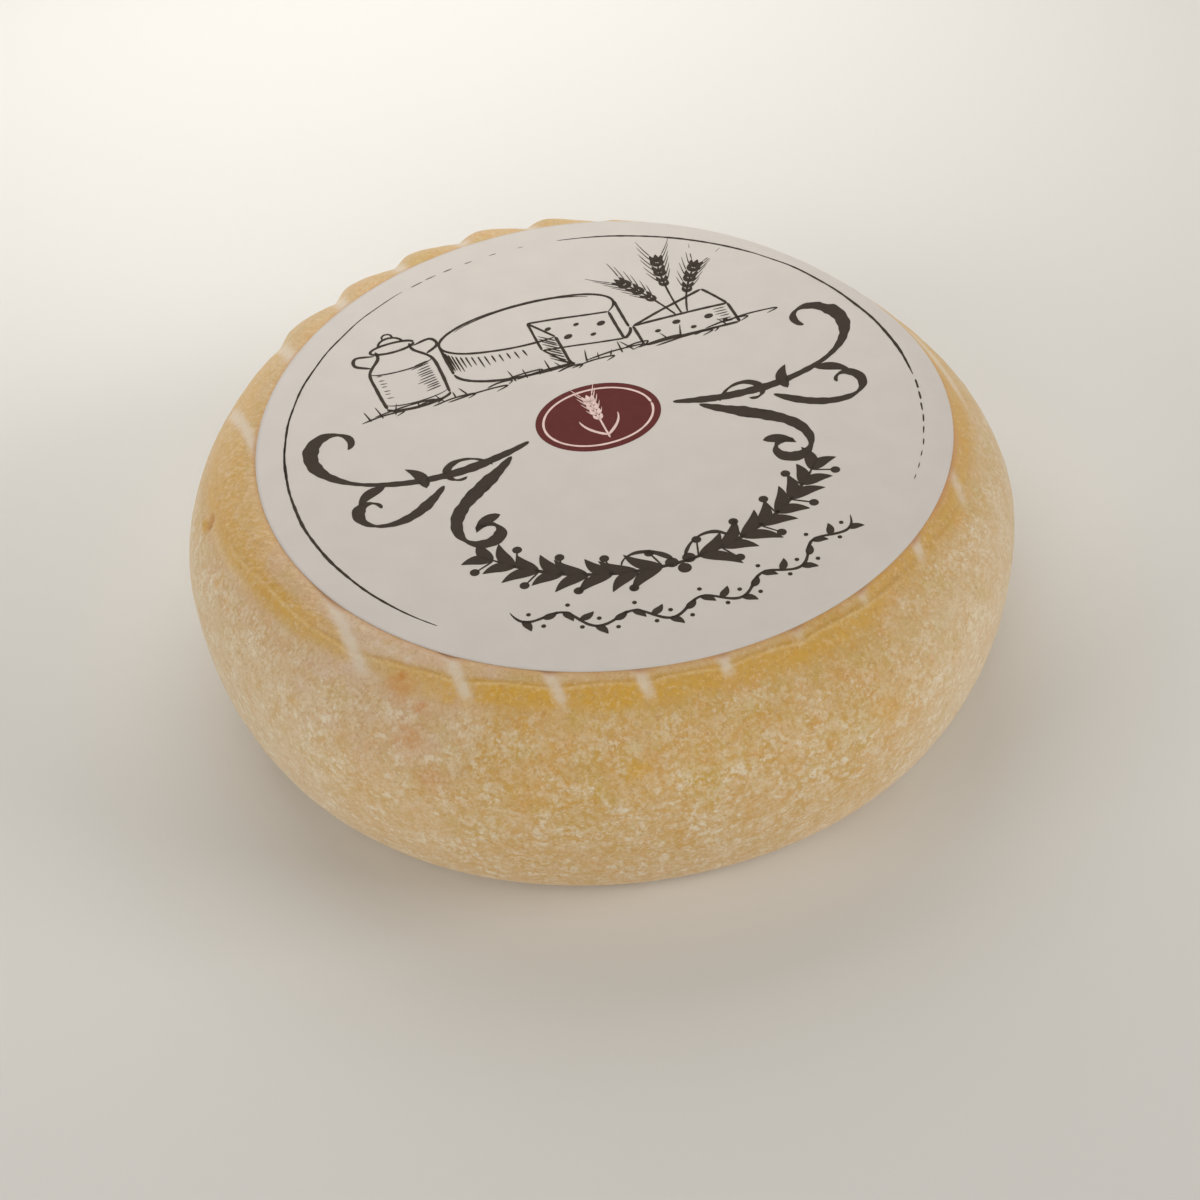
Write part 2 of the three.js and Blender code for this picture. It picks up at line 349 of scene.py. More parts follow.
def make_wheel():
    azimuth = np.linspace(0, 2 * math.pi, WHEEL_TURNS, endpoint=False)
    rings = wheel_rings(azimuth)
    x, y, z = rings[:, 0], rings[:, 1], rings[:, 2]
    radius = np.hypot(x, y)
    around = np.broadcast_to(azimuth, x.shape)
    normals = grid_normals(rings)

    crown = z >= WIDEST_LEVEL
    open_crown = crown * smooth(radius - label_reach(around), -1.5, 0.0)
    beyond = radius - seam_radius(around)
    past = beyond - seam_shift(x, y, around)
    spots = rings.transpose(0, 2, 1).reshape(-1, 3)
    lumps, pores, grain = (noise_at(spots, *kind).reshape(x.shape) for kind in ((30, 0), (5, 7), (2.2, 3)))
    side = smooth(z, 0.5, 8) * np.where(crown, crown * smooth(radius - label_reach(around), -0.5, 5), 1)

    marks = wire_line(x, y) ** (1 - 0.35 * heavy_side(around)) * wire_reach(z, around) * open_crown
    depth = WIRE_DEPTH_LEAST + (WIRE_DEPTH_HEAVY - WIRE_DEPTH_LEAST) * heavy_side(around)
    lines = 0.1 * seam_ridge(past, around) - 0.14 * seam_groove(past, around)
    lines = lines - 0.09 * right_folds(beyond, around) + 0.12 * left_fold(beyond, around)
    relief = open_crown * (lobes(x, y, radius, around) + lines * (1 - marks)) - marks * depth
    relief = relief + pimple(x, y, z) * crown
    relief = relief - side * (0.35 + 0.25 * lumps + 0.1 * pores - 0.06 * grain)
    relief = relief - 0.05 * crown * (1 - open_crown)

    under_marks = wire_line(-x, y) * (z < 1)
    moved = rings + normals * relief[:, None, :]
    moved[:, 2] = np.maximum(moved[:, 2], 0)
    moved[1:-1, 2] += UNDERSIDE_MARK * (under_marks * (rings[:, 2] < 0.001))[1:-1]
    moved[:, 0] += AXIS_X
    moved[:, 1] += AXIS_Y

    steps = np.linalg.norm(np.diff(rings, axis=0), axis=1)
    climbed = np.vstack([np.zeros((1, WHEEL_TURNS)), np.cumsum(steps, axis=0)])
    at_seam = np.argmin(np.abs(beyond[:, 0]) + 99 * ~crown[:, 0])
    down = climbed[at_seam] - climbed

    turn = turn_from(270, around)
    front = between(around, 245, 300, 22)
    left = between(around, 150, 222, 12)
    right = between(around, 322, 385, 16)
    back = smooth(np.abs(turn), 80, 120)
    flank = smooth(np.abs(turn), 25, 85)
    patches = lumps + 0.5 * pores
    band_top = -0.6 - 3.0 * between(around, 200, 226, 6) - 9 * between(around, 150, 200, 6) - 6 * right
    band_end = 2.0 + 2.4 * front - 1.6 * right + 1.5 * bell(turn_from(268, around), 9)
    band = smooth(down, band_top - 1.0, band_top + 0.6)
    band = band * (1 - smooth(down + 2 * patches, band_end - 1.5, band_end + 2.5))
    band = band * (0.45 + 0.55 * front + 0.1 * right + 0.3 * left)
    gaps = 0.8 * bell(turn_from(231.5, around), 4) + 0.3 * bell(turn_from(240, around), 5)
    band = band * (1 - gaps - 0.25 * between(around, 282, 306, 8))
    belly = smooth(down, 2, 10) * (1 - smooth(down, 28, 50)) * bell(turn + 2, 26) * smooth(patches, -0.3, 0.5)
    dusting = smooth(down + 1.5 * patches, band_end - 1.5, band_end + 5)
    # More powder towards the left and right edges: partly real powder, partly painted sheen at the grazing
    # edges
    dust_and_edge_sheen = 0.78 + 0.2 * np.maximum(left, right) + 0.1 * smooth(down, 10, 40)
    dust_and_edge_sheen = dust_and_edge_sheen * between(around, 184, 350, 55)
    powder_and_edge_sheen = dusting * np.maximum(dust_and_edge_sheen, 0.6 * back)
    powder_and_edge_sheen = np.maximum(powder_and_edge_sheen, 0.35 * between(around, 60, 170, 25) * crown)
    # Pale haze: partly a real veil of powder, partly painted sheen along the left and right edges
    haze_and_edge_sheen = 0.52 * left * smooth(down, 5, 16) + 0.85 * right * smooth(down, 2, 14)
    haze_and_edge_sheen = haze_and_edge_sheen + 0.22 * flank * smooth(down, 6, 20)
    haze_and_edge_sheen = haze_and_edge_sheen + 0.35 * between(around, 214, 244, 8) * smooth(down, 1, 6) + 0.06 * smooth(down, 20, 45)
    pink = between(around, 226, 250, 8) * (1 - smooth(down, -1.6, -0.2))
    pink = pink + 0.5 * between(around, 200, 226, 6) * (1 - smooth(down, -6, -3))
    pink = pink + 0.9 * between(around, 226, 246, 7) * smooth(down, 0, 4) * (1 - smooth(down, 18, 34))
    pink = pink + 0.5 * between(around, 188, 226, 8) * smooth(down, 1.5, 3) * (1 - smooth(down, 8, 16))
    ochre = stains(down, around, GOLDEN_SPOTS) * (0.7 + 0.4 * pores)
    ochre = np.maximum(ochre, bell(from_pimple(x, y, z)[0], 2.6) * crown)
    powder_and_edge_sheen = powder_and_edge_sheen * (1 - 0.75 * np.clip(ochre, 0, 1))
    above_seam = 1 - smooth(down, -1.6, -0.2)
    haze_and_edge_sheen = haze_and_edge_sheen + 0.45 * above_seam * between(around, 228, 290, 16)
    haze_and_edge_sheen = haze_and_edge_sheen + 0.35 * between(around, 342, 372, 8) * smooth(down, -2, 0) * (1 - smooth(down, 2, 14))
    haze_and_edge_sheen = haze_and_edge_sheen + 0.3 * between(around, 188, 206, 5) * smooth(down, 0, 1.5) * (1 - smooth(down, 5, 16))
    haze_and_edge_sheen = haze_and_edge_sheen + 0.3 * between(around, 190, 226, 6) * (1 - smooth(down, -6, -3.5))
    haze_and_edge_sheen = haze_and_edge_sheen + 0.28 * between(around, 180, 212, 8) * smooth(down, 10, 16) * (1 - smooth(down, 26, 40))
    haze_and_edge_sheen = haze_and_edge_sheen + 0.25 * between(around, 214, 246, 6) * smooth(down, 0, 1) * (1 - smooth(down, 3.5, 6))
    beside_mark = bell(turn_from(231.5, around), 4) * smooth(down, -4.5, -3) * (1 - smooth(down, 4, 5.5))
    haze_and_edge_sheen = haze_and_edge_sheen + 0.4 * beside_mark
    haze_and_edge_sheen = haze_and_edge_sheen * (1 - 0.7 * np.clip(ochre, 0, 1))
    smear = stains(down, around, ((232.0, -3.6, 1.6), (235.0, -3.2, 2.0), (238.0, -2.6, 1.6)))
    # Painted contact shadow along the label's edge, partly a damp stain; stronger over the wire marks, where
    # the paper bridges a groove, and at the right
    rim = 0.5 + 0.5 * np.maximum(marks, between(around, 335, 352))
    marked = np.maximum(marks, under_marks * smooth(FOOT_RADIUS - radius, 0, 4))
    fainter = 0.35 * bell(turn_from(298, around), 7) + 0.1 * bell(turn_from(312, around), 6)
    fainter = fainter + 0.35 * bell(turn_from(337, around), 6)
    foot_gold = between(around, 235, 300, 20) * smooth(down, 18, 34)
    on_left = 0.95 * between(around, 182, 246, 10) * smooth(down, 3, 8)
    attributes = {
        "wire_mark": np.maximum(marked * (1 - fainter), 0.6 * smear * crown),
        "golden": np.clip(np.maximum(band + 0.4 * belly + 0.3 * foot_gold, ochre), 0, 1),
        "powder_and_edge_sheen": np.clip(powder_and_edge_sheen, 0, 1),
        "coarse": np.maximum(0.25 + 0.75 * smooth(down + 2 * patches, 5, 28), on_left),
        "veil_and_edge_sheen": np.clip(haze_and_edge_sheen + 0.1 * back, 0, 1),
        "blush": np.clip(pink * smooth(patches, -0.8, 0.2), 0, 1),
        "russet": np.maximum(stains(down, around, RUSSET_SPOTS), 0.6 * stains(down, around, RUSSET_CLOUDS)),
        "cloth": between(around, 140, 226, 8) * (1 - smooth(down, -2.5, 0)),
        # Painted highlight on the seam's ridge and the left fold; painted shade in the seam's groove and the
        # right folds
        "ridge_highlight": open_crown * (seam_ridge(past, around) + left_fold(beyond, around)),
        "groove_shade": open_crown * np.clip(seam_groove(past, around) + 0.5 * right_folds(beyond, around), 0, 1),
        "rim": crown * rim * bell(radius - label_reach(around) - 0.2, 0.3 + 0.6 * rim),
        "pimple": pimple_tint_and_crease_shade(x, y, z) * crown,
    }
    return grid_mesh("rind", moved, attributes)


def linear(hex_colour):
    """A linear RGBA colour from an sRGB hex value."""
    shares = [int(hex_colour[place : place + 2], 16) / 255 for place in (1, 3, 5)]
    return (*[s / 12.92 if s <= 0.04045 else ((s + 0.055) / 1.055) ** 2.4 for s in shares], 1.0)


def new_material(name, **surface):
    """A material whose Principled surface has the given socket values, by socket name."""
    material = bpy.data.materials.new(name)
    material.use_nodes = True
    shader = material.node_tree.nodes["Principled BSDF"]
    for socket, value in surface.items():
        shader.inputs[socket.replace("_", " ")].default_value = value
    return material


def add_node(material, kind, links=None, **settings):
    """Adds a node: settings are its properties, links are socket values or other nodes' outputs."""
    made = material.node_tree.nodes.new(kind)
    for key, value in settings.items():
        setattr(made, key, value)
    for socket, source in (links or {}).items():
        if isinstance(source, bpy.types.NodeSocket):
            material.node_tree.links.new(source, made.inputs[socket])
        else:
            made.inputs[socket].default_value = source
    return made


def pattern_scale(size):
    """Scale of a noise whose lumps are about this many millimetres across."""
    return 1 / (size * MM)


# The print of the cheese cloth: the width of a thread and the direction it runs in
CLOTH_THREAD, CLOTH_RUN = 1.0, -30.0


def washed_rind():
    """Washed rind: a dry, golden skin, dusted with a pale mealy bloom that hides all gloss."""
    rind = new_material("washed_rind", Roughness=0.7, IOR=1.45)
    shader = rind.node_tree.nodes["Principled BSDF"]
    shader.inputs["Specular IOR Level"].default_value = 0.3
    shader.inputs["Sheen Weight"].default_value = 0.35
    shader.inputs["Sheen Tint"].default_value = linear("#FFF2DF")
    shader.inputs["Sheen Roughness"].default_value = 0.6
    place = add_node(rind, "ShaderNodeTexCoord").outputs["Object"]

    def lumps(size, detail, roughness=0.55, kind=0.0):
        sockets = {"Vector": place, "Scale": pattern_scale(size), "Detail": detail, "Roughness": roughness}
        sockets["W"] = kind
        return add_node(rind, "ShaderNodeTexNoise", sockets, noise_dimensions="4D").outputs["Fac"]

    def ramp(value, low, high, start=0.0, end=1.0):
        sockets = {"Value": value, "From Min": low, "From Max": high, "To Min": start, "To Max": end}
        made = add_node(rind, "ShaderNodeMapRange", sockets, interpolation_type="SMOOTHSTEP")
        return made.outputs["Result"]

    def blend(share, first, second, mode="MIX"):
        made = add_node(rind, "ShaderNodeMix", data_type="RGBA", blend_type=mode)
        for socket, source in ((0, share), (6, first), (7, second)):
            if isinstance(source, bpy.types.NodeSocket):
                rind.node_tree.links.new(source, made.inputs[socket])
            else:
                made.inputs[socket].default_value = source
        return made.outputs[2]

    def math_node(operation, first, second):
        return add_node(rind, "ShaderNodeMath", {0: first, 1: second}, operation=operation).outputs[0]

    def attribute(name):
        return add_node(rind, "ShaderNodeAttribute", attribute_name=name).outputs["Fac"]

    def specks(size, least, kind):
        """Soft ragged flecks of this size; the share of bare cells grows with least."""
        sockets = {"Vector": place, "Scale": pattern_scale(size), "Detail": 3, "Roughness": 0.65, "W": kind}
        sway = add_node(rind, "ShaderNodeTexNoise", sockets, noise_dimensions="4D").outputs["Color"]
        pull = add_node(rind, "ShaderNodeVectorMath", {0: sway, 1: (0.5, 0.5, 0.5)}, operation="SUBTRACT")
        sockets = {0: pull.outputs[0], "Scale": 2.4 * size * MM}
        drift = add_node(rind, "ShaderNodeVectorMath", sockets, operation="SCALE")
        moved = add_node(rind, "ShaderNodeVectorMath", {0: place, 1: drift.outputs[0]}, operation="ADD")
        sockets = {0: moved.outputs[0], 1: (kind, kind, kind)}
        shifted = add_node(rind, "ShaderNodeVectorMath", sockets, operation="ADD")
        sockets = {"Vector": shifted.outputs[0], "Scale": pattern_scale(size)}
        cells = add_node(rind, "ShaderNodeTexVoronoi", sockets)
        fleck = ramp(cells.outputs["Distance"], 0.28, 0.62, 1, 0)
        lot = add_node(rind, "ShaderNodeSeparateColor", {"Color": cells.outputs["Color"]}).outputs[0]
        return math_node("MULTIPLY", fleck, ramp(lot, least, least + 0.45))

    # The bare skin: honey with orange and olive patches, pink and golden in places
    honey = blend(ramp(lumps(14, 3, 0.6), 0.38, 0.62), linear("#BE964C"), linear("#C49E64"))
    honey = blend(ramp(lumps(5, 5, 0.75, 1.0), 0.46, 0.7, 0, 0.7), honey, linear("#C68A36"))
    honey = blend(ramp(lumps(7, 4, 0.7, 2.0), 0.48, 0.7, 0, 0.55), honey, linear("#B59A44"))
    blush = math_node("MULTIPLY", attribute("blush"), ramp(lumps(3, 4, 0.7, 2.5), 0.3, 0.65, 0.3, 0.85))
    honey = blend(blush, honey, linear("#C7A48C"))
    patchy = ramp(lumps(2.5, 4, 0.7, 3.0), 0.35, 0.6, 0.45, 1)
    gold = math_node("MULTIPLY", attribute("golden"), patchy)
    golden = blend(gold, honey, linear("#C8972F"))
    # The print of the cheese cloth, then the seam: painted shade in its groove, a painted highlight on its
    # ridge
    sockets = {"Vector": place, "Rotation": (0, 0, math.radians(CLOTH_RUN)), "Scale": (3.2, 1, 1)}
    along_cloth = add_node(rind, "ShaderNodeMapping", sockets, vector_type="TEXTURE").outputs[0]
    sockets = {"Vector": along_cloth, "Scale": pattern_scale(CLOTH_THREAD), "Detail": 3, "Roughness": 0.6}
    weave = add_node(rind, "ShaderNodeTexNoise", sockets).outputs["Fac"]
    threads = math_node("MULTIPLY", ramp(weave, 0.46, 0.72, 0, 0.5), attribute("cloth"))
    golden = blend(threads, golden, linear("#D9BB96"))
    shades = math_node("MULTIPLY", ramp(weave, 0.3, 0.48, 0.45, 0), attribute("cloth"))
    golden = blend(shades, golden, linear("#B98A3E"))
    broken = ramp(lumps(1.8, 3, 0.7, 4.5), 0.35, 0.65, 0.3, 1)
    # Painted shade in the groove, then a painted highlight on the ridge
    groove_shade = math_node("MULTIPLY", math_node("MULTIPLY", attribute("groove_shade"), broken), 0.6)
    golden = blend(groove_shade, golden, linear("#A87A24"))
    ridge_highlight = math_node("MULTIPLY", math_node("MULTIPLY", attribute("ridge_highlight"), broken), 0.62)
    golden = blend(ridge_highlight, golden, linear("#D8BA84"))

    # The powder: fine and coarse flecks and clouds over an even veil; where powder and veil thicken towards
    # the left and right edges, that is painted sheen
    powder_and_edge_sheen = attribute("powder_and_edge_sheen")
    clumps = ramp(lumps(8, 4, 0.65, 5.0), 0.36, 0.6, 0.35, 1)
    clouds = math_node("MULTIPLY", ramp(lumps(2.6, 5, 0.7, 5.5), 0.45, 0.63), 0.62)
    fine = math_node("MULTIPLY", specks(1.3, 0.1, 0.11), 0.72)
    coarse = math_node("MULTIPLY", specks(2.5, 0.15, 0.23), attribute("coarse"))
    flecks = math_node("MAXIMUM", math_node("MAXIMUM", fine, coarse), clouds)
    mealy = math_node("MULTIPLY", flecks, ramp(lumps(0.9, 3, 0.85, 5.8), 0.38, 0.6, 0.6, 1.1))
    # The bloom and the veil carry the real powder and also the painted sheen at the left and right edges
    bloom = math_node("MULTIPLY", math_node("MULTIPLY", mealy, clumps), powder_and_edge_sheen)
    veil_and_edge_sheen = math_node("MULTIPLY", attribute("veil_and_edge_sheen"), ramp(lumps(5, 4, 0.65, 6.0), 0.3, 0.65, 0.45, 1))
    veiled = blend(math_node("MULTIPLY", veil_and_edge_sheen, 0.6), golden, linear("#CFBDA2"))
    dusty = blend(math_node("MINIMUM", math_node("MULTIPLY", bloom, 1.15), 1.0), veiled, linear("#D8CAAE"))
    grain = lumps(0.8, 2, 0.7, 7.0)
    dusty = blend(ramp(grain, 0.48, 0.7, 0, 0.45), dusty, linear("#A87E44"))
    dusty = blend(ramp(lumps(1.2, 3, 0.8, 8.0), 0.5, 0.7, 0, 0.4), dusty, linear("#DCC49E"))

    # Russet spots, the pimple with painted shade in its crease, the wire marks, and at the label's edge a
    # damp stain darkened as painted contact shadow
    russet = math_node("MULTIPLY", attribute("russet"), ramp(lumps(1.6, 3, 0.7, 3.5), 0.32, 0.6, 0.3, 1))
    spotted = blend(russet, dusty, linear("#C07C30"))
    # Darker orange on and beside the pimple: partly its own colour, partly painted shade in its crease
    spotted = blend(math_node("MULTIPLY", attribute("pimple"), 0.65), spotted, linear("#B46E1E"))
    worn = ramp(lumps(1.6, 3, 0.75, 9.0), 0.35, 0.62, 0.75, 1.05)
    mark = ramp(math_node("MULTIPLY", attribute("wire_mark"), worn), 0.05, 1.0, 0, 0.74)
    striped = blend(mark, spotted, linear("#D4C6B2"))
    # The label's edge: a damp stain and painted contact shadow
    edge_stained_and_shaded = blend(math_node("MULTIPLY", attribute("rim"), 0.8), striped, linear("#BC8450"))
    rind.node_tree.links.new(edge_stained_and_shaded, shader.inputs["Base Color"])

    # The powder and the grain stand up a little
    height = math_node("ADD", math_node("MULTIPLY", bloom, 0.6), math_node("MULTIPLY", grain, 0.4))
    bump = add_node(rind, "ShaderNodeBump", {"Strength": 0.5, "Distance": 0.2 * MM, "Height": height})
    rind.node_tree.links.new(bump.outputs["Normal"], shader.inputs["Normal"])
    return rind


rind = make_wheel()
rind.data.materials.append(washed_rind())
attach(rind, "root")
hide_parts("cheese_wheel")

# The label
# A round sheet of smooth off-white paper, stuck on the top face while the rind was damp. It
# follows the crown and turns down a little over the shoulder at the back right.

LABEL_LIFT = 0.03
PAPER_THICKNESS = 0.1
LABEL_TURNS = 320
STAND_OFF, STAND_OFF_AZIMUTH, STAND_OFF_WIDTH = 0.3, 55.0, 35.0


def paper_face(x, y):
    """Height of the paper's printed face, at a place measured from the wheel's axis."""
    radius, azimuth = np.hypot(x, y), np.arctan2(y, x)
    stand_off = STAND_OFF * bell(turn_from(STAND_OFF_AZIMUTH, azimuth), STAND_OFF_WIDTH)
    stand_off = stand_off * smooth(radius, 74, 84)
    return crown_height(radius, azimuth) + LABEL_LIFT + PAPER_THICKNESS + stand_off


def make_label():
    azimuth = np.linspace(0, 2 * math.pi, LABEL_TURNS, endpoint=False)
    shares = np.concatenate([np.linspace(0, 0.9, 10), np.linspace(0.92, 1, 9)])
    rings = []
    for share, drop in [(s, PAPER_THICKNESS) for s in shares] + [(s, 0) for s in shares[::-1]]:
        x = LABEL_X + share * LABEL_RADIUS * np.cos(azimuth)
        y = LABEL_Y + share * LABEL_RADIUS * np.sin(azimuth)
        rings.append((x + AXIS_X, y + AXIS_Y, paper_face(x, y) - drop))
    return grid_mesh("label_sheet", np.array(rings))


def label_paper():
    """Uncoated paper: matt, with a faint cloudiness of its fibres."""
    paper = new_material("label_paper", Roughness=0.75, IOR=1.45)
    shader = paper.node_tree.nodes["Principled BSDF"]
    place = add_node(paper, "ShaderNodeTexCoord").outputs["Object"]
    clouds = add_node(
        paper, "ShaderNodeTexNoise", {"Vector": place, "Scale": pattern_scale(9), "Detail": 4}
    )
    tint = add_node(
        paper, "ShaderNodeMapRange", {"Value": clouds.outputs["Fac"], "From Min": 0.3, "From Max": 0.7}
    )
    mix = add_node(paper, "ShaderNodeMix", data_type="RGBA")
    mix.inputs[6].default_value = linear("#CAC1B7")
    mix.inputs[7].default_value = linear("#CEC5BB")
    paper.node_tree.links.new(tint.outputs["Result"], mix.inputs[0])
    paper.node_tree.links.new(mix.outputs[2], shader.inputs["Base Color"])
    fibre = add_node(
        paper, "ShaderNodeTexNoise", {"Vector": place, "Scale": pattern_scale(0.5), "Detail": 2}
    )
    bump = add_node(
        paper, "ShaderNodeBump", {"Strength": 0.2, "Distance": 0.03 * MM, "Height": fibre.outputs["Fac"]}
    )
    paper.node_tree.links.new(bump.outputs["Normal"], shader.inputs["Normal"])
    return paper


label = make_label()
label.data.materials.append(label_paper())
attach(label, "root")
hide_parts("paper_label")

# The dark print
# Flat brown-black ink on the paper, drawn with a broad pen: a fine line round the label, a still
# life at the top, flourishes on both sides, a leafy wreath below and a small vine under it.
# Positions are millimetres from the label's centre, to the right and up as the print is read.

PRINT_TURN = 16.0
INK_THICKNESS = 0.09
INK_RISE = 0.04
LINE_STEP = 0.6
RADIAN = 57.3
RING_RADIUS = 76.8
WREATH_RADIUS, WREATH_GAP = 53.0, 6.2
VINE_RADIUS, VINE_WAVE, VINE_LEAVES = 67.5, 2.1, 21
chance = np.random.default_rng(11)


def wander(along, size, waves=(2.3, 5.1, 11.0)):
    """A slow random drift along a line, as of a hand that isn't quite steady."""
    return size * sum(np.sin(along / wave + chance.uniform(0, 6.3)) for wave in waves) / len(waves)


def through(points, step=LINE_STEP):
    """A smooth line through a few points."""
    points = np.array(points, float)
    padded = np.vstack([2 * points[0] - points[1], points, 2 * points[-1] - points[-2]])
    parts = []
    for before, start, end, after in zip(padded, padded[1:], padded[2:], padded[3:]):
        count = max(2, int(np.linalg.norm(end - start) / step) + 1)
        t = np.linspace(0, 1, count, endpoint=False)[:, None]
        bend = 2 * before - 5 * start + 4 * end - after
        turned = 3 * start - before - 3 * end + after
        parts.append(start + ((end - before) * t + bend * t**2 + turned * t**3) / 2)
    return np.vstack([*parts, points[-1:]])


def arc(centre, reach, first, last, squash=1.0, step=0.8):
    """Part of a circle, or of an ellipse whose height is squash times its width, angles in degrees."""
    count = max(3, int(abs(last - first) / RADIAN * reach / step))
    angle = np.radians(np.linspace(first, last, count))
    return np.array(centre) + reach * np.column_stack([np.cos(angle), squash * np.sin(angle)])


def curl(start, heading, length, first_bend, last_bend, power=1.0, step=LINE_STEP):
    """A line that starts in a direction and bends ever more, or less: degrees per millimetre."""
    along = np.linspace(0, length, max(4, int(length / step)))
    share = (along / length) ** power
    bend = first_bend + (last_bend - first_bend) * share
    angle = np.radians(heading + np.concatenate([[0], np.cumsum(bend[1:] * np.diff(along))]))
    steps = np.diff(along)[:, None] * np.column_stack([np.cos(angle), np.sin(angle)])[:-1]
    return np.array(start) + np.vstack([[0, 0], np.cumsum(steps, axis=0)])


def headings(line):
    """The direction of a line at each of its points."""
    run = np.gradient(line, axis=0)
    return run / np.maximum(np.linalg.norm(run, axis=1, keepdims=True), 1e-9)


def ribbon(line, half):
    """A flat strip along a line, reaching this far to each side of it."""
    run = headings(line)
    side = np.column_stack([-run[:, 1], run[:, 0]])
    count = len(line)
    corners = np.vstack([line + half[:, None] * side, line - half[:, None] * side])
    faces = [(count + k, count + k + 1, k + 1, k) for k in range(count - 1)]
    return corners, faces, [*range(count, 2 * count), *range(count - 1, -1, -1)]


def pen(line, width, thin_in=0.15, thin_out=0.25, nib=None, hand=0.12, rough=0.16):
    """An inked ribbon along a line: thin at its ends, thick where it runs across the nib."""
    line = np.array(line, float)
    along = np.concatenate([[0], np.cumsum(np.linalg.norm(np.diff(line, axis=0), axis=1))])
    length = along[-1]
    line = line + np.column_stack([wander(along, hand), wander(along, hand)])
    run = headings(line)
    share = along / length
    body = np.clip(share / max(thin_in, 1e-3), 0, 1) * np.clip((1 - share) / max(thin_out, 1e-3), 0, 1)
    body = 0.12 + 0.88 * np.sqrt(body)
    if nib is not None:
        across = np.abs(run[:, 0] * math.sin(math.radians(nib)) - run[:, 1] * math.cos(math.radians(nib)))
        body = body * (0.28 + 0.72 * across)
    return ribbon(line, width / 2 * body * (1 + wander(along, rough, (0.5, 1.1, 2.9))))


def leaf(base, tip, width, sag=0.12):
    """A leaf: a ribbon that swells to its width near a third of its length."""
    base, tip = np.array(base, float), np.array(tip, float)
    run = tip - base
    length = np.linalg.norm(run)
    side = np.array([-run[1], run[0]]) / length
    share = np.linspace(0, 1, 12)
    line = base + share[:, None] * run + (sag * length * np.sin(math.pi * share))[:, None] * side
    half = width / 2 * np.sin(math.pi * share**0.75) ** 0.9 + 0.06
    return ribbon(line, half)


def patch(centre, reach, squash=1.0, tilt=0.0, rings=1, turns=20):
    """A filled circle or ellipse."""
    angle = np.linspace(0, 2 * math.pi, turns, endpoint=False)
    turn = math.radians(tilt)
    corners = [np.array(centre, float)[None]]
    for ring in range(1, rings + 1):
        x, y = reach * ring / rings * np.cos(angle), squash * reach * ring / rings * np.sin(angle)
        turned = [x * math.cos(turn) - y * math.sin(turn), x * math.sin(turn) + y * math.cos(turn)]
        corners.append(np.array(centre) + np.column_stack(turned))
    faces = [(0, 1 + k, 1 + (k + 1) % turns) for k in range(turns)]
    for ring in range(rings - 1):
        low = 1 + ring * turns
        for k in range(turns):
            after = (k + 1) % turns
            faces.append((low + k, low + turns + k, low + turns + after, low + after))
    rim = [1 + (rings - 1) * turns + k for k in range(turns)]
    return np.vstack(corners), faces, rim


def mirrored(shapes):
    """The same shapes with left and right swapped."""
    return [(corners * (-1, 1), [face[::-1] for face in faces], rim[::-1]) for corners, faces, rim in shapes]


def barley(foot, heading, length, bend, grain=3.4, pairs=6, awn=9.0, ink=0.55):
    """An ear of barley on its stalk, with long beards."""
    stalk = curl(foot, heading, length, bend, bend * 1.6)
    shapes = [pen(stalk, ink, 0.02, 0.05, hand=0.05)]
    run = np.gradient(stalk, axis=0)
    top = len(stalk) - 1
    gap = grain * 0.62
    for pair in range(pairs):
        spot = max(0, top - int(pair * gap / LINE_STEP))
        direction = math.degrees(math.atan2(run[spot][1], run[spot][0]))
        size = grain * (1 - 0.35 * (pair / pairs) ** 2)
        for hand in (-1, 1):
            lean = math.radians(direction + hand * 26)
            tip = stalk[spot] + size * np.array([math.cos(lean), math.sin(lean)])
            shapes.append(leaf(stalk[spot], tip, size * 0.38, 0.1 * hand))
            if awn:
                beard = curl(tip, math.degrees(lean), awn - 0.5 * pair, -hand * 0.8, -hand * 1.6)
                shapes.append(pen(beard, 0.28, 0.05, 0.8, hand=0.03))
    shapes.append(leaf(stalk[-1], stalk[-1] + grain * run[-1] / np.linalg.norm(run[-1]), grain * 0.42, 0))
    return shapes


def hatch(first, last, run, count, ink=0.4, ragged=0.25):
    """Parallel short strokes, their feet spread along a line; run is the stroke's own vector."""
    first, last, run = np.array(first, float), np.array(last, float), np.array(run, float)
    shapes = []
    for k in range(count):
        foot = first + (last - first) * (k + chance.uniform(-0.2, 0.2)) / max(1, count - 1)
        end = foot + run * (1 + chance.uniform(-ragged, ragged))
        shapes.append(pen(through([foot, end]), ink, 0.1, 0.5, hand=0.05))
    return shapes


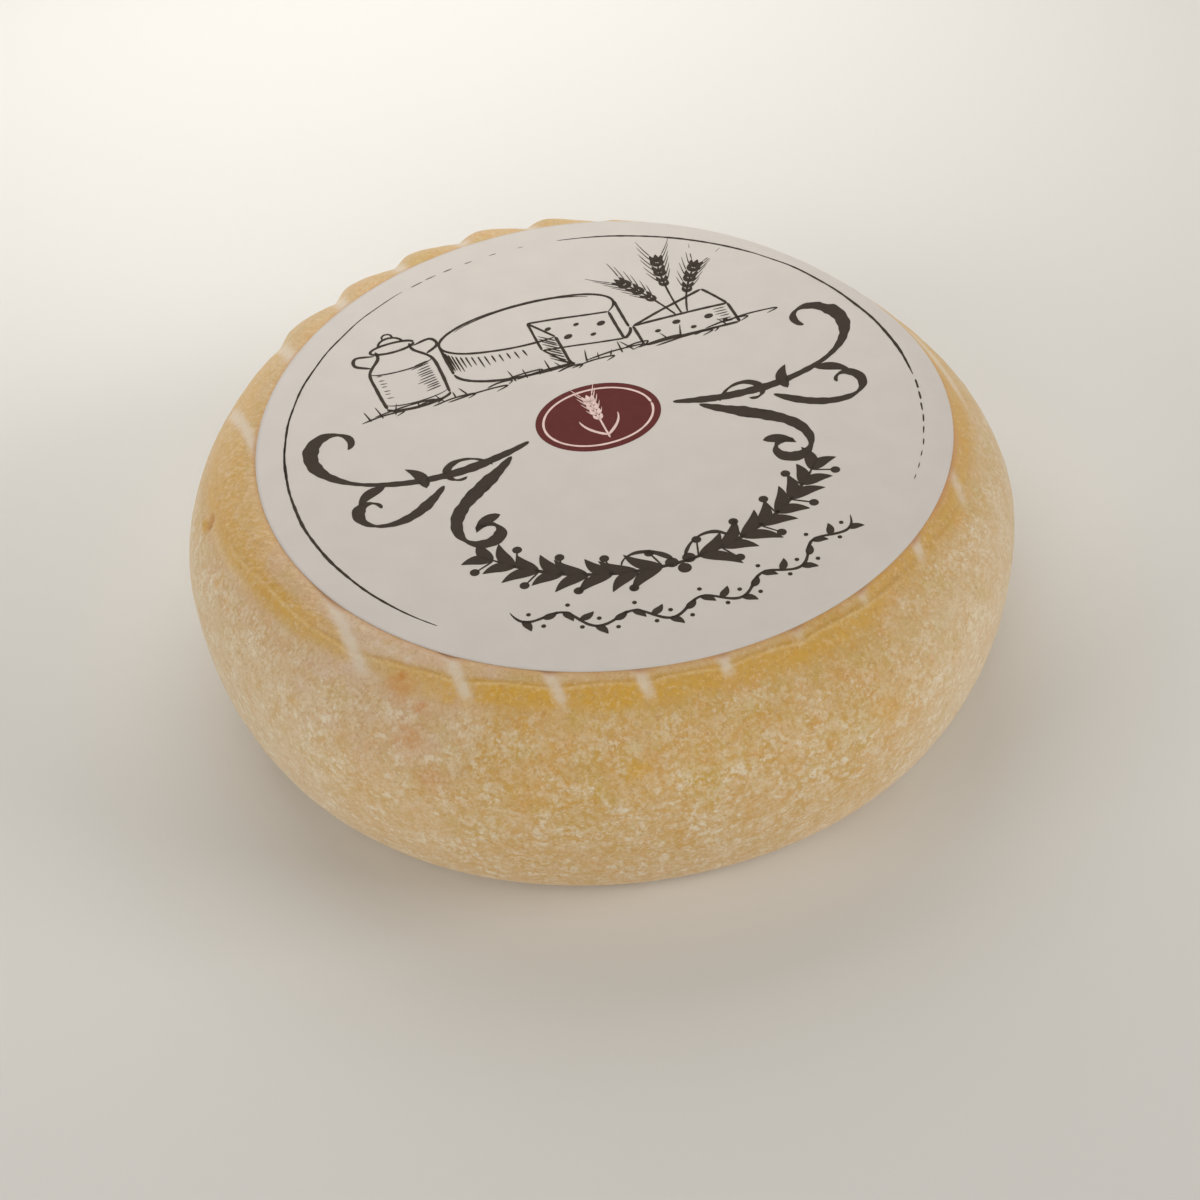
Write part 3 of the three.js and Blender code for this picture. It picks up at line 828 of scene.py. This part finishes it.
def cheese_sketch(centre):
    """A cut wheel, open where the wedge was cut out; the wedge lying before it is drawn by wedge_sketch."""
    x, y = centre
    reach, squash, height = 23.0, 0.36, 12.0
    near, far = -28.0, -78.0
    shapes = [pen(arc(centre, reach, near, 360 + far, squash), 0.75, 0.05, 0.05)]
    shapes.append(pen(arc((x, y + 0.5), reach - 2.4, 30, 150, squash), 0.4))
    bottom = (x, y - height)
    shapes.append(pen(arc(bottom, reach, 180, 360 + far, squash), 0.9, 0.05, 0.05))
    shapes.append(pen(arc(bottom, reach, 360 + near, 360, squash), 0.9, 0.05, 0.05))
    for angle in (180, 360):
        edge = arc(centre, reach, angle, angle + 1, squash)[0]
        shapes.append(pen(through([edge, edge - (0, height / 2), edge - (0, height)]), 0.8, 0.05, 0.05))
    for angle in (near, far):
        rim = arc(centre, reach, angle, angle + 1, squash)[0]
        shapes.append(pen(through([centre, (rim + centre) / 2, rim]), 0.7, 0.03, 0.03))
        shapes.append(pen(through([rim, rim - (0, height)]), 0.8, 0.03, 0.03))
        foot = [(x, y - height), (rim + centre) / 2 - (0, height), rim - (0, height)]
        shapes.append(pen(through(foot), 0.6, 0.03, 0.03))
    shapes.append(pen(through([centre, (x, y - height)]), 0.7, 0.03, 0.03))
    rim = arc(centre, reach, near, near + 1, squash)[0]
    holes = ((0.2, 0.3, 0.9), (0.38, 0.66, 1.2), (0.55, 0.28, 0.8), (0.68, 0.7, 0.8), (0.84, 0.36, 1.2))
    for share, drop, size in holes:
        shapes.append(patch(centre + (rim - centre) * share - (0, height * drop), size, 0.7, 20))
    rim = arc(centre, reach, far, far + 1, squash)[0]
    shapes += hatch(rim + (-0.5, -1.6), rim + (-0.5, -height + 1), (-3.4, 3.4), 9, 0.45, 0.1)
    for k in range(15):
        angle = 186 + 5.2 * k
        rim = arc(centre, reach, angle, angle + 1, squash)[0]
        shapes += hatch(rim - (0, 1.5), rim - (0, 1.6), (0.3, -height * (0.62 - 0.03 * k)), 1, 0.45)
    return shapes


def wedge_sketch(corner):
    """A wedge of cheese lying on its side."""
    x, y = corner
    tip, left, right = np.array((x, y)), np.array((x + 21, y + 7.5)), np.array((x + 25, y - 0.5))
    down = np.array((0, -8.5))
    shapes = []
    edges = [(tip, left), (left, right), (right, tip)]
    edges += [(tip, tip + down), (right, right + down), (tip + down, right + down)]
    for first, last in edges:
        shapes.append(pen(through([first, (first + last) / 2 + (0, 0.15), last]), 0.8, 0.04, 0.04))
    holes = ((0.2, 0.5, 0.8), (0.42, 0.3, 1.1), (0.55, 0.72, 0.8), (0.75, 0.4, 1.2), (0.88, 0.75, 0.7))
    for share, drop, size in holes:
        shapes.append(patch(tip + (right - tip) * share + down * drop, size, 0.75, 10))
    shapes += hatch(right + (-1.2, -1.4), right + (-1.2, -7), (-3.2, 0.1), 6, 0.35)
    return shapes


def churn_sketch(foot):
    """A milk churn with its lid and two handles."""
    x, y = foot
    shapes = []
    for hand in (-1, 1):
        side = [(8, 0), (8.3, 8), (8, 15), (4.6, 20), (4.4, 23)]
        shapes.append(pen(through([(x + hand * out, y + up) for out, up in side]), 0.85, 0.03, 0.03))
        handle = [(7.2, 17), (10.6, 19.5), (9.6, 22.5), (5, 21.5)]
        shapes.append(pen(through([(x + hand * out, y + up) for out, up in handle]), 0.9))
    shapes.append(pen(arc((x, y), 8, 180, 360, 0.28), 0.9, 0.05, 0.05))
    shapes.append(pen(arc((x, y + 2), 8, 190, 350, 0.28), 0.4))
    shapes.append(pen(arc((x, y + 15), 8, 185, 355, 0.26), 0.5))
    shapes.append(pen(arc((x, y + 23), 5.6, 0, 360, 0.34), 0.8, 0.02, 0.02))
    shapes.append(pen(arc((x, y + 24.2), 3.2, 0, 180, 0.9), 0.7, 0.05, 0.05))
    shapes.append(pen(arc((x, y + 27.6), 1.3, -60, 240), 0.6, 0.05, 0.05))
    shapes += hatch((x + 6.8, y + 3.4), (x + 6.6, y + 14), (-4.2, -0.8), 12, 0.4)
    shapes += hatch((x - 6.9, y + 4), (x - 6.9, y + 13), (1.6, -0.3), 7, 0.3)
    return shapes


def ground_sketch(first, last, level):
    """Loose scribbled grass that the still life stands on."""
    shapes = []
    for k, x in enumerate(np.linspace(first, last, 17)):
        run = 5.5 + 2.5 * math.sin(2.1 * k)
        y = level + 1.2 * math.sin(1.3 * k)
        scribble = [(x - run, y - 0.8), (x, y), (x + run, y - 0.3), (x + 0.6 * run, y - 1.6)]
        shapes.append(pen(through(scribble), 0.55))
    for k, x in enumerate(np.linspace(first - 3, last + 3, 34)):
        if chance.uniform() < 0.6:
            lean = chance.uniform(-25, 25)
            blade = curl((x, level - 1), 90 + lean, chance.uniform(2.5, 5.5), 0, lean / 6)
            shapes.append(pen(blade, 0.5, 0.02, 0.8))
    return shapes


def ring_line():
    """The fine line round the label, drawn in two sweeps that thin out and break up at their ends."""
    shapes = []

    def sweep(first, last, width, thin_in, thin_out):
        line = arc((0, 0), RING_RADIUS, first, last, step=0.5)
        shapes.append(pen(line, width, thin_in, thin_out, hand=0.14, rough=0.28))

    sweep(112, 172, 0.5, 0.5, 0.02)
    sweep(152, 221, 0.85, 0.6, 0.55)
    sweep(79, 40, 0.6, 0.4, 0.1)
    sweep(43, -9, 0.75, 0.7, 0.12)
    for step in range(6):
        first = 110 - (3.1 + 0.3 * step) * step
        sweep(first, first - 2.7 + 0.3 * step, 0.3 - 0.025 * step, 0.3, 0.3)
    for step in range(9):
        first = -10.5 - 3.3 * step
        sweep(first, first - (2.7 - 0.15 * step), 0.5 - 0.035 * step, 0.1, 0.1)
    return shapes


def scroll():
    """The flourish right of the medallion: bold curls that spring from one stem, with leaves."""
    shapes = [pen(curl((18.5, 1), -20, 80, 1.0, 19, 4.4), 4.0, 0.2, 0.2, nib=30)]
    shapes.append(pen(curl((24, -2.5), -42, 52, 1.1, -24, 2.0), 3.6, 0.2, 0.2, nib=60))
    shapes.append(pen(curl((42, -6), -46, 37, 1.6, 26, 2.4), 3.0, 0.2, 0.2, nib=30))
    shapes.append(pen(curl((29, -3.4), 60, 21, -5, -26, 1.5), 2.0, 0.2, 0.2, nib=30))
    leaves = (((46, -5), 72, 9), ((55, -0.5), -30, 9), ((32, -11), -20, 8.5), ((33, -21), -28, 8))
    for foot, heading, size in leaves:
        turn = math.radians(heading)
        tip = (foot[0] + size * math.cos(turn), foot[1] + size * math.sin(turn))
        shapes.append(leaf(foot, tip, 2.9, 0.14))
    return shapes


def garland():
    """A bold wreath of slender leaves and berries on the lower half, tied in its middle."""
    reach, gap = WREATH_RADIUS, WREATH_GAP
    shapes = [pen(arc((0, 0), reach, 221, 319), 1.0, 0.08, 0.08)]
    for step in range(1, 9):
        for way in (1, -1):
            spot = math.radians(270 + way * (gap * step - 1.5))
            base = reach * np.array([math.cos(spot), math.sin(spot)])
            ahead = math.degrees(spot) + way * 90
            for hand in (-1, 1):
                lean = math.radians(ahead + hand * (36 + 5 * math.sin(3 * step + hand)))
                size = 10.2 - 0.3 * step + 0.8 * math.sin(2.3 * step + hand + way)
                tip = base + size * np.array([math.cos(lean), math.sin(lean)])
                shapes.append(leaf(base, tip, 3.1, -0.12 * hand))
            lean = math.radians(ahead + (70 if step % 2 else -70) * way)
            tip = base + 5.6 * np.array([math.cos(lean), math.sin(lean)])
            shapes.append(pen(through([base, tip]), 0.45))
            shapes.append(patch(tip, 1.15))
    for x, y in ((-2.1, 0.6), (2.1, 0.6), (0, -2.2)):
        shapes.append(patch((x, y - reach), 1.6))
    for way in (1, -1):
        ribbon = curl((way * 1.5, 1.5 - reach), 90 - way * 30, 15, -way * 4, way * -17, 1.6)
        shapes.append(pen(ribbon, 1.5, 0.1, 0.3, nib=30))
    return shapes


def running_vine():
    """A small vine along the lower rim."""
    count = 150
    angle = np.radians(np.linspace(232, 308, count))
    reach = VINE_RADIUS + VINE_WAVE * np.sin(np.linspace(0, 11 * math.pi, count))
    line = reach[:, None] * np.column_stack([np.cos(angle), np.sin(angle)])
    shapes = [pen(line, 0.75, 0.05, 0.05)]
    for k in range(1, VINE_LEAVES + 1):
        spot = line[int(k * (count - 1) / (VINE_LEAVES + 1))]
        out = spot / np.linalg.norm(spot)
        side = np.array([-out[1], out[0]])
        way = 1 if k % 2 else -1
        tip = spot + 3.9 * (0.75 * side + way * 0.66 * out)
        shapes.append(leaf(spot, tip, 1.8, 0.1 * way))
        shapes.append(patch(spot - way * 2.4 * out + 0.8 * side, 0.55))
    return shapes


def dark_print():
    # Each flourish is drawn by itself, so that the two aren't quite alike
    right = scroll()
    return [
        *ring_line(),
        *churn_sketch((-38, 27)),
        *cheese_sketch((-4, 45)),
        *wedge_sketch((20, 33)),
        *barley((33, 33), 92, 23, -0.5, awn=7.5),
        *barley((34.5, 33), 74, 19, -0.9, awn=7),
        *barley((31.5, 33), 108, 19, 0.5, awn=7),
        *ground_sketch(-48, 48, 25),
        *right,
        *mirrored(scroll()),
        *garland(),
        *running_vine(),
    ]


def ink_piece(name, shapes, rise):
    """Flat shapes, printed on the paper: each a closed sheet that stands this little above it."""
    turn = math.radians(PRINT_TURN)
    points, faces = [], []
    for corners, tops, rim in shapes:
        u, v = corners[:, 0], corners[:, 1]
        x = LABEL_X + u * math.cos(turn) - v * math.sin(turn)
        y = LABEL_Y + u * math.sin(turn) + v * math.cos(turn)
        top = paper_face(x, y) + rise
        start, count = len(points), len(corners)
        for level in (top, top - INK_THICKNESS):
            points.extend(np.column_stack([x + AXIS_X, y + AXIS_Y, level]) * MM)
        faces.extend(tuple(start + k for k in face) for face in tops)
        faces.extend(tuple(start + count + k for k in reversed(face)) for face in tops)
        for first, second in zip(rim, rim[1:] + rim[:1]):
            low = start + count
            faces.append((low + first, low + second, start + second, start + first))
    mesh = bpy.data.meshes.new(name)
    mesh.from_pydata(points, [], faces)
    return add_object(name, mesh)


def printing_ink(name, colour):
    """Thin printing ink that has sunk into the paper: matt, a trace uneven in its strength."""
    ink = new_material(name, Roughness=0.8, Specular_IOR_Level=0.15)
    place = add_node(ink, "ShaderNodeTexCoord").outputs["Object"]
    cover = add_node(ink, "ShaderNodeTexNoise", {"Vector": place, "Scale": pattern_scale(2.5), "Detail": 3})
    sockets = {"Value": cover.outputs["Fac"], "To Min": 1.15, "To Max": 0.85}
    tone = add_node(ink, "ShaderNodeMapRange", sockets)
    mix = add_node(ink, "ShaderNodeVectorMath", {0: linear(colour)[:3]}, operation="SCALE")
    ink.node_tree.links.new(tone.outputs["Result"], mix.inputs["Scale"])
    shader = ink.node_tree.nodes["Principled BSDF"]
    ink.node_tree.links.new(mix.outputs["Vector"], shader.inputs["Base Color"])
    return ink


dark_ink = ink_piece("dark_print", dark_print(), INK_RISE)
dark_ink.data.materials.append(printing_ink("dark_ink", "#3F352C"))
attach(dark_ink, "root")

# The medallion
# A maroon oval printed between the flourishes, with a fine line and an ear of barley left pale in
# it, the only colour on the label.


def medallion():
    return [patch((0, 3), 15.5, 0.8, 0, 6, 64)]


def medallion_line():
    shapes = [pen(arc((0, 3), 13.6, 0, 360, 0.77), 0.55, 0.001, 0.001, hand=0.05)]
    shapes += barley((0, -5.6), 90, 14.5, 0, 2.9, 5, 4.5, 0.5)
    for hand in (-1, 1):
        shapes.append(pen(curl((0, -4.4), 90 - hand * 50, 9, hand * 1, hand * 9), 0.7, 0.1, 0.5))
    return shapes


maroon_ink = ink_piece("medallion", medallion(), INK_RISE)
maroon_ink.data.materials.append(printing_ink("maroon_ink", "#602B27"))
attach(maroon_ink, "root")

pale_ink = ink_piece("medallion_line", medallion_line(), 2 * INK_RISE)
pale_ink.data.materials.append(printing_ink("pale_ink", "#E2C4BB"))
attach(pale_ink, "root")

# The floor and the light
# A plain pale floor under soft studio light: a panel above and behind the wheel, three larger ones
# farther off in front and at both sides, and a faint even surround.

FLOOR_SIZE = 6000.0
FAR_AIM = (0, 0, 30)
SURROUND_STRENGTH = 0.18


def make_floor():
    half = FLOOR_SIZE / 2 * MM
    mesh = bpy.data.meshes.new("floor")
    corners = [(-half, -half, 0), (half, -half, 0), (half, half, 0), (-half, half, 0)]
    mesh.from_pydata(corners, [], [(0, 1, 2, 3)])
    floor = add_object("floor", mesh)
    floor.data.materials.append(new_material("pale_floor", Base_Color=linear("#DEDAD2"), Roughness=0.9))


def soft_panel(name, place, aim, size, watts):
    light = bpy.data.lights.new(name, "AREA")
    light.energy = watts
    light.size = size * MM
    panel = add_object(name, light)
    panel.location = Vector(place) * MM
    direction = Vector(aim) - Vector(place)
    panel.rotation_euler = direction.to_track_quat("-Z", "Y").to_euler()


def surround(strength):
    world = bpy.data.worlds.new("studio")
    world.use_nodes = True
    background = world.node_tree.nodes["Background"]
    background.inputs["Color"].default_value = (1, 1, 1, 1)
    background.inputs["Strength"].default_value = strength
    bpy.context.scene.world = world


make_floor()
soft_panel("back_panel", (-50, 290, 285), (0, 60, 50), 500, 1.385)
soft_panel("front_panel", (-300, -2000, 870), FAR_AIM, 1180, 14.3)
soft_panel("right_panel", (2000, -500, 830), FAR_AIM, 1120, 24.9)
soft_panel("left_panel", (-1400, -700, 570), FAR_AIM, 900, 8.5)
surround(SURROUND_STRENGTH)
bpy.context.scene.view_settings.view_transform = "Standard"

# The camera
# It stands in front of the wheel and looks down on it with a long lens, tilted a few degrees
# sideways, so that the wheel lies a little lower at the left.

PICTURE_SIZE = 1200
SENSOR = 36.0
FOCAL_PIXELS = 2999.3
VIEW_DISTANCE = 741.8
VIEW_ELEVATION = 40.8
VIEW_ROLL = 5.68
CENTRE_PIXEL = (598.34, 529.03)


def make_camera():
    lens = bpy.data.cameras.new("camera")
    lens.sensor_width = SENSOR
    lens.lens = FOCAL_PIXELS / PICTURE_SIZE * SENSOR
    lens.clip_start = 0.01
    lens.clip_end = 20
    camera = add_object("camera", lens)
    elevation = math.radians(VIEW_ELEVATION)
    target = Vector((AXIS_X, AXIS_Y, RIM_LEVEL / 2)) * MM
    away = Vector((0, -math.cos(elevation), math.sin(elevation)))
    look = Matrix.Rotation(math.pi / 2 - elevation, 3, "X")
    roll = Matrix.Rotation(-math.radians(VIEW_ROLL), 3, "Z")
    middle = PICTURE_SIZE / 2
    seen = Vector((CENTRE_PIXEL[0] - middle, middle - CENTRE_PIXEL[1], -FOCAL_PIXELS)).normalized()
    swing = Vector((0, 0, -1)).rotation_difference(seen).to_matrix()
    turn = look @ roll @ swing.transposed()
    camera.matrix_world = Matrix.Translation(target + away * VIEW_DISTANCE * MM) @ turn.to_4x4()
    bpy.context.scene.camera = camera


make_camera()
